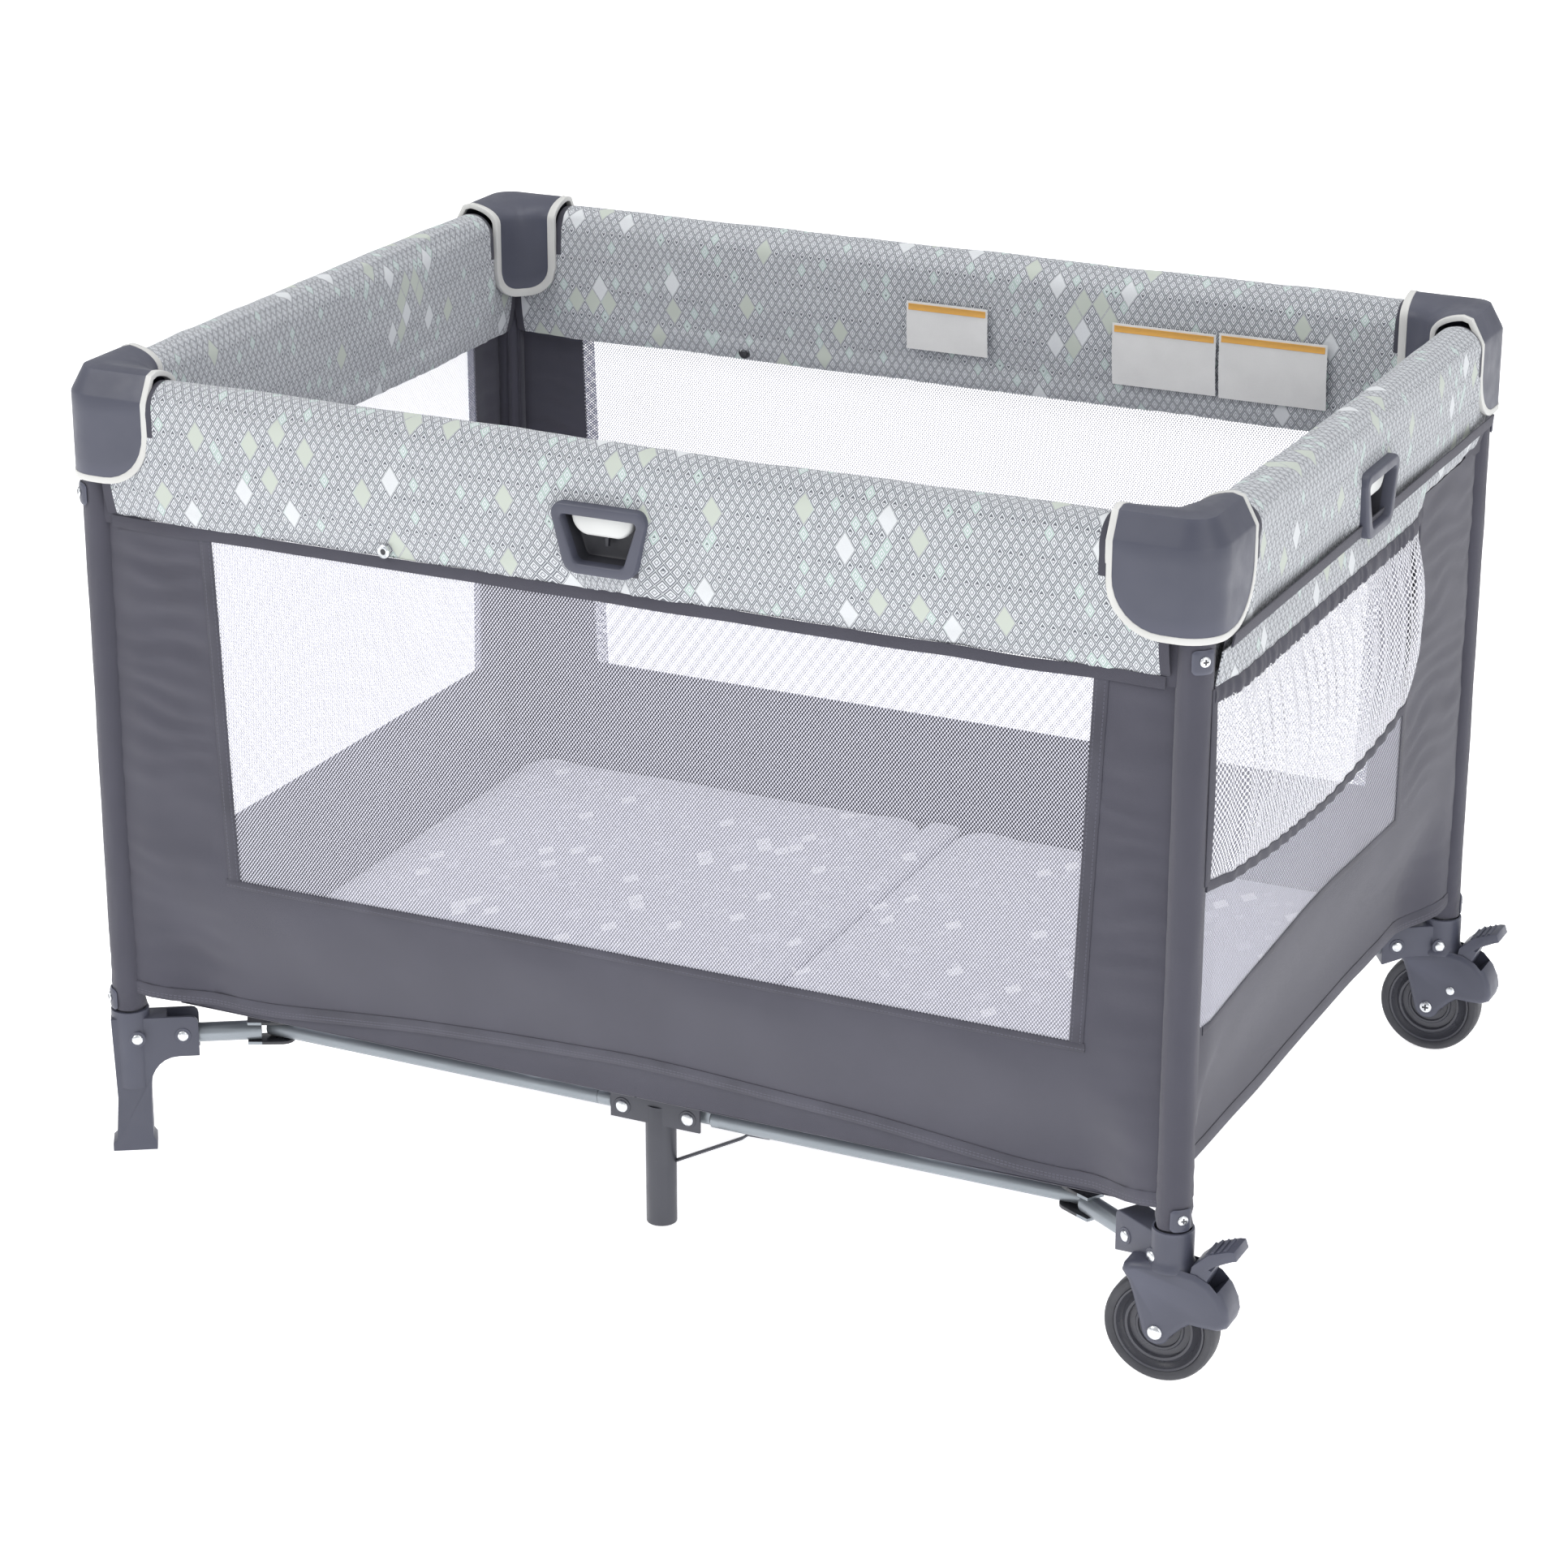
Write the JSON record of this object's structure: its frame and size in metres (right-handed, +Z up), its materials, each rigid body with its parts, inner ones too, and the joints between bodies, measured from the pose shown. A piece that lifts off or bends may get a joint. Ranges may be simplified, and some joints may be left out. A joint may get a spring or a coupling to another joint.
{
  "type": "travel play yard",
  "caption": "Folding travel play yard: padded top rails with centre latches, mesh walls, hinged base frame, floor pad, organiser pocket, two feet and two casters.",
  "frame": {"origin": "floor level at the middle of the open yard's bounding box", "axes": "+X along the long side towards the two casters and the organiser pocket, +Y towards the back long side, +Z up"},
  "size_m": [1.0455, 0.751, 0.704],
  "materials": {
    "slate_plastic": "fine moulded grain, dark slate grey",
    "pale_plastic": "satin pale grey",
    "slate_tube": "steel tube, powder coated dark grey",
    "silver_tube": "steel tube, satin silver grey paint",
    "tyre_rubber": "matte dark grey rubber",
    "print_fabric": "padded woven polyester, small diamond print",
    "slate_fabric": "plain woven polyester, dark grey, with white mesh windows",
    "pad_fabric": "pale printed woven polyester over foam and board",
    "pocket_mesh": "white polyester mesh with a dark binding"
  },
  "bodies": {
    "corner_fl": {"post_fl": "slate_tube", "cap_fl": "slate_plastic", "foot_fl": "slate_plastic", "wall_front": "slate_fabric", "wall_left": "slate_fabric"},
    "corner_bl": {"post_bl": "slate_tube", "cap_bl": "slate_plastic", "foot_bl": "slate_plastic", "wall_back": "slate_fabric"},
    "corner_fr": {"post_fr": "slate_tube", "cap_fr": "slate_plastic", "caster_fr": "slate_plastic", "wall_right": "slate_fabric", "organiser_pocket": "pocket_mesh"},
    "corner_br": {"post_br": "slate_tube", "cap_br": "slate_plastic", "caster_br": "slate_plastic"},
    "rail_front_left": {"rail_front_left": "slate_tube"},
    "latch_front": {"latch_front": "slate_plastic", "rail_cover_front": "print_fabric"},
    "rail_front_right": {"rail_front_right": "slate_tube"},
    "button_front": {"button_front": "pale_plastic"},
    "rail_left_front": {"rail_left_front": "slate_tube"},
    "latch_left": {"latch_left": "slate_plastic", "rail_cover_left": "print_fabric"},
    "rail_left_back": {"rail_left_back": "slate_tube"},
    "button_left": {"button_left": "pale_plastic"},
    "rail_back_left": {"rail_back_left": "slate_tube"},
    "latch_back": {"latch_back": "slate_plastic", "rail_cover_back": "print_fabric"},
    "rail_back_right": {"rail_back_right": "slate_tube"},
    "button_back": {"button_back": "pale_plastic"},
    "rail_right_front": {"rail_right_front": "slate_tube"},
    "latch_right": {"latch_right": "slate_plastic", "rail_cover_right": "print_fabric"},
    "rail_right_back": {"rail_right_back": "slate_tube"},
    "button_right": {"button_right": "pale_plastic"},
    "base_link_fl": {"base_link_fl": "silver_tube"},
    "base_tube_fl": {"base_tube_fl": "silver_tube"},
    "yoke_fl": {"yoke_fl": "silver_tube"},
    "hub_front": {"hub_front": "slate_plastic"},
    "base_link_fr": {"base_link_fr": "silver_tube"},
    "base_tube_fr": {"base_tube_fr": "silver_tube"},
    "base_link_bl": {"base_link_bl": "silver_tube"},
    "base_tube_bl": {"base_tube_bl": "silver_tube"},
    "yoke_bl": {"yoke_bl": "silver_tube"},
    "hub_back": {"hub_back": "slate_plastic"},
    "base_link_br": {"base_link_br": "silver_tube"},
    "base_tube_br": {"base_tube_br": "silver_tube"},
    "floor_left": {"floor_left": "slate_fabric"},
    "floor_right": {"floor_right": "slate_fabric"},
    "pad_spine": {"pad_spine": "pad_fabric"},
    "pad_left": {"pad_left": "pad_fabric"},
    "pad_right": {"pad_right": "pad_fabric"},
    "wheel_fr": {"tyre_fr": "tyre_rubber", "wheel_hub_fr": "slate_plastic"},
    "pedal_fr": {"brake_pedal_fr": "slate_plastic"},
    "wheel_br": {"tyre_br": "tyre_rubber", "wheel_hub_br": "slate_plastic"},
    "pedal_br": {"brake_pedal_br": "slate_plastic"}
  },
  "joints": [
    {"name": "fold", "type": "hinge", "parent": "corner_fl", "child": "rail_front_left", "pos_m": [-0.45625, -0.347, 0.668], "axis": [0, 1, 0], "range_deg": [0, 85], "deforming": ["wall_front", "wall_back", "wall_left", "wall_right", "rail_cover_front", "rail_cover_back", "rail_cover_left", "rail_cover_right", "floor_left", "floor_right", "pad_spine", "pad_left", "pad_right", "organiser_pocket"]},
    {"name": "latch_front_hinge", "type": "hinge", "parent": "rail_front_left", "child": "latch_front", "pos_m": [-0.04725, -0.347, 0.668], "axis": [0, 1, 0], "range_deg": [-86, 0]},
    {"name": "rail_front_right_hinge", "type": "hinge", "parent": "latch_front", "child": "rail_front_right", "pos_m": [0.01875, -0.347, 0.668], "axis": [0, 1, 0], "range_deg": [-86, 0]},
    {"name": "corner_fr_hinge", "type": "hinge", "parent": "rail_front_right", "child": "corner_fr", "pos_m": [0.42775, -0.347, 0.668], "axis": [0, 1, 0], "range_deg": [0, 86]},
    {"name": "button_front_press", "type": "slide", "parent": "latch_front", "child": "button_front", "axis": [0, 0, 1], "range_m": [0, 0.006], "stiffness_N_per_m": 250},
    {"name": "rail_left_front_hinge", "type": "hinge", "parent": "corner_fl", "child": "rail_left_front", "pos_m": [-0.49425, -0.309, 0.668], "axis": [1, 0, 0], "range_deg": [-86, 0]},
    {"name": "latch_left_hinge", "type": "hinge", "parent": "rail_left_front", "child": "latch_left", "pos_m": [-0.49425, -0.033, 0.668], "axis": [1, 0, 0], "range_deg": [0, 86]},
    {"name": "rail_left_back_hinge", "type": "hinge", "parent": "latch_left", "child": "rail_left_back", "pos_m": [-0.49425, 0.033, 0.668], "axis": [1, 0, 0], "range_deg": [0, 86]},
    {"name": "corner_bl_hinge", "type": "hinge", "parent": "rail_left_back", "child": "corner_bl", "pos_m": [-0.49425, 0.309, 0.668], "axis": [1, 0, 0], "range_deg": [-86, 0]},
    {"name": "button_left_press", "type": "slide", "parent": "latch_left", "child": "button_left", "axis": [0, 0, 1], "range_m": [0, 0.006], "stiffness_N_per_m": 250},
    {"name": "rail_back_left_hinge", "type": "hinge", "parent": "corner_bl", "child": "rail_back_left", "pos_m": [-0.45625, 0.347, 0.668], "axis": [0, 1, 0], "range_deg": [0, 86]},
    {"name": "latch_back_hinge", "type": "hinge", "parent": "rail_back_left", "child": "latch_back", "pos_m": [-0.04725, 0.347, 0.668], "axis": [0, 1, 0], "range_deg": [-86, 0]},
    {"name": "rail_back_right_hinge", "type": "hinge", "parent": "latch_back", "child": "rail_back_right", "pos_m": [0.01875, 0.347, 0.668], "axis": [0, 1, 0], "range_deg": [-86, 0]},
    {"name": "corner_br_hinge", "type": "hinge", "parent": "rail_back_right", "child": "corner_br", "pos_m": [0.42775, 0.347, 0.668], "axis": [0, 1, 0], "range_deg": [0, 86]},
    {"name": "button_back_press", "type": "slide", "parent": "latch_back", "child": "button_back", "axis": [0, 0, 1], "range_m": [0, 0.006], "stiffness_N_per_m": 250},
    {"name": "rail_right_front_hinge", "type": "hinge", "parent": "corner_fr", "child": "rail_right_front", "pos_m": [0.46575, -0.309, 0.668], "axis": [1, 0, 0], "range_deg": [-86, 0]},
    {"name": "latch_right_hinge", "type": "hinge", "parent": "rail_right_front", "child": "latch_right", "pos_m": [0.46575, -0.033, 0.668], "axis": [1, 0, 0], "range_deg": [0, 86]},
    {"name": "rail_right_back_hinge", "type": "hinge", "parent": "latch_right", "child": "rail_right_back", "pos_m": [0.46575, 0.033, 0.668], "axis": [1, 0, 0], "range_deg": [0, 86]},
    {"name": "button_right_press", "type": "slide", "parent": "latch_right", "child": "button_right", "axis": [0, 0, 1], "range_m": [0, 0.006], "stiffness_N_per_m": 250},
    {"name": "base_link_fl_hinge", "type": "hinge", "parent": "corner_fl", "child": "base_link_fl", "pos_m": [-0.45609, -0.32315, 0.105], "axis": [0.5299, -0.848, 0], "range_deg": [0, 86]},
    {"name": "base_tube_fl_clevis", "type": "hinge", "parent": "base_link_fl", "child": "base_tube_fl", "pos_m": [-0.384, -0.27811, 0.105], "axis": [0, 0, 1], "range_deg": [0, 30.73]},
    {"name": "yoke_fl_swivel", "type": "hinge", "parent": "base_tube_fl", "child": "yoke_fl", "pos_m": [-0.07485, -0.27811, 0.105], "axis": [1, 0, 0], "range_deg": [-30.73, 0]},
    {"name": "hub_front_hinge", "type": "hinge", "parent": "yoke_fl", "child": "hub_front", "pos_m": [-0.04485, -0.27811, 0.105], "axis": [0, 1, 0], "range_deg": [0, 86]},
    {"name": "base_link_fr_hinge", "type": "hinge", "parent": "corner_fr", "child": "base_link_fr", "pos_m": [0.42759, -0.32315, 0.105], "axis": [0.5299, 0.848, 0], "range_deg": [0, 86]},
    {"name": "base_tube_fr_clevis", "type": "hinge", "parent": "base_link_fr", "child": "base_tube_fr", "pos_m": [0.3555, -0.27811, 0.105], "axis": [0, 0, 1], "range_deg": [-30.73, 0]},
    {"name": "base_link_bl_hinge", "type": "hinge", "parent": "corner_bl", "child": "base_link_bl", "pos_m": [-0.45609, 0.32315, 0.105], "axis": [-0.5299, -0.848, 0], "range_deg": [0, 86]},
    {"name": "base_tube_bl_clevis", "type": "hinge", "parent": "base_link_bl", "child": "base_tube_bl", "pos_m": [-0.384, 0.27811, 0.105], "axis": [0, 0, 1], "range_deg": [-30.73, 0]},
    {"name": "yoke_bl_swivel", "type": "hinge", "parent": "base_tube_bl", "child": "yoke_bl", "pos_m": [-0.07485, 0.27811, 0.105], "axis": [1, 0, 0], "range_deg": [0, 30.73]},
    {"name": "hub_back_hinge", "type": "hinge", "parent": "yoke_bl", "child": "hub_back", "pos_m": [-0.04485, 0.27811, 0.105], "axis": [0, 1, 0], "range_deg": [0, 86]},
    {"name": "base_link_br_hinge", "type": "hinge", "parent": "corner_br", "child": "base_link_br", "pos_m": [0.42759, 0.32315, 0.105], "axis": [-0.5299, 0.848, 0], "range_deg": [0, 86]},
    {"name": "base_tube_br_clevis", "type": "hinge", "parent": "base_link_br", "child": "base_tube_br", "pos_m": [0.3555, 0.27811, 0.105], "axis": [0, 0, 1], "range_deg": [0, 30.73]},
    {"name": "floor_left_fold", "type": "hinge", "parent": "hub_front", "child": "floor_left", "pos_m": [-0.01525, 0, 0.1255], "axis": [0, 1, 0], "range_deg": [-86, 0]},
    {"name": "floor_right_fold", "type": "hinge", "parent": "hub_front", "child": "floor_right", "pos_m": [-0.01325, 0, 0.1255], "axis": [0, 1, 0], "range_deg": [0, 86]},
    {"name": "pad_lift", "type": "slide", "parent": "hub_front", "child": "pad_spine", "axis": [0, 0, 1], "range_m": [0, 0.65]},
    {"name": "pad_left_fold", "type": "hinge", "parent": "pad_spine", "child": "pad_left", "pos_m": [-0.03225, 0, 0.129], "axis": [0, 1, 0], "range_deg": [-86, 0]},
    {"name": "pad_right_fold", "type": "hinge", "parent": "pad_spine", "child": "pad_right", "pos_m": [0.00375, 0, 0.129], "axis": [0, 1, 0], "range_deg": [0, 86]},
    {"name": "wheel_fr_spin", "type": "hinge", "parent": "corner_fr", "child": "wheel_fr", "pos_m": [0.45975, -0.347, 0.046], "axis": [0, 1, 0], "continuous": true},
    {"name": "brake_fr_press", "type": "hinge", "parent": "corner_fr", "child": "pedal_fr", "pos_m": [0.48175, -0.347, 0.066], "axis": [0, 1, 0], "range_deg": [0, 10]},
    {"name": "wheel_br_spin", "type": "hinge", "parent": "corner_br", "child": "wheel_br", "pos_m": [0.45975, 0.347, 0.046], "axis": [0, 1, 0], "continuous": true},
    {"name": "brake_br_press", "type": "hinge", "parent": "corner_br", "child": "pedal_br", "pos_m": [0.48175, 0.347, 0.066], "axis": [0, 1, 0], "range_deg": [0, 10]}
  ],
  "couplings": [
    {"joint": "latch_front_hinge", "follows": "fold", "ratio": -1},
    {"joint": "rail_front_right_hinge", "follows": "fold", "ratio": -1},
    {"joint": "corner_fr_hinge", "follows": "fold", "ratio": 1},
    {"joint": "rail_left_front_hinge", "follows": "fold", "ratio": -1},
    {"joint": "latch_left_hinge", "follows": "fold", "ratio": 1},
    {"joint": "rail_left_back_hinge", "follows": "fold", "ratio": 1},
    {"joint": "corner_bl_hinge", "follows": "fold", "ratio": -1},
    {"joint": "rail_back_left_hinge", "follows": "fold", "ratio": 1},
    {"joint": "latch_back_hinge", "follows": "fold", "ratio": -1},
    {"joint": "rail_back_right_hinge", "follows": "fold", "ratio": -1},
    {"joint": "corner_br_hinge", "follows": "fold", "ratio": 1},
    {"joint": "rail_right_front_hinge", "follows": "fold", "ratio": -1},
    {"joint": "latch_right_hinge", "follows": "fold", "ratio": 1},
    {"joint": "rail_right_back_hinge", "follows": "fold", "ratio": 1},
    {"joint": "base_link_fl_hinge", "follows": "fold", "ratio": 1},
    {"joint": "base_tube_fl_clevis", "follows": "fold", "ratio": 0.3556},
    {"joint": "yoke_fl_swivel", "follows": "fold", "ratio": -0.3556},
    {"joint": "hub_front_hinge", "follows": "fold", "ratio": 1},
    {"joint": "base_link_fr_hinge", "follows": "fold", "ratio": 1},
    {"joint": "base_tube_fr_clevis", "follows": "fold", "ratio": -0.3556},
    {"joint": "base_link_bl_hinge", "follows": "fold", "ratio": 1},
    {"joint": "base_tube_bl_clevis", "follows": "fold", "ratio": -0.3556},
    {"joint": "yoke_bl_swivel", "follows": "fold", "ratio": 0.3556},
    {"joint": "hub_back_hinge", "follows": "fold", "ratio": 1},
    {"joint": "base_link_br_hinge", "follows": "fold", "ratio": 1},
    {"joint": "base_tube_br_clevis", "follows": "fold", "ratio": 0.3556},
    {"joint": "floor_left_fold", "follows": "fold", "ratio": -1},
    {"joint": "floor_right_fold", "follows": "fold", "ratio": 1},
    {"joint": "pad_left_fold", "follows": "fold", "ratio": -1},
    {"joint": "pad_right_fold", "follows": "fold", "ratio": 1}
  ]
}
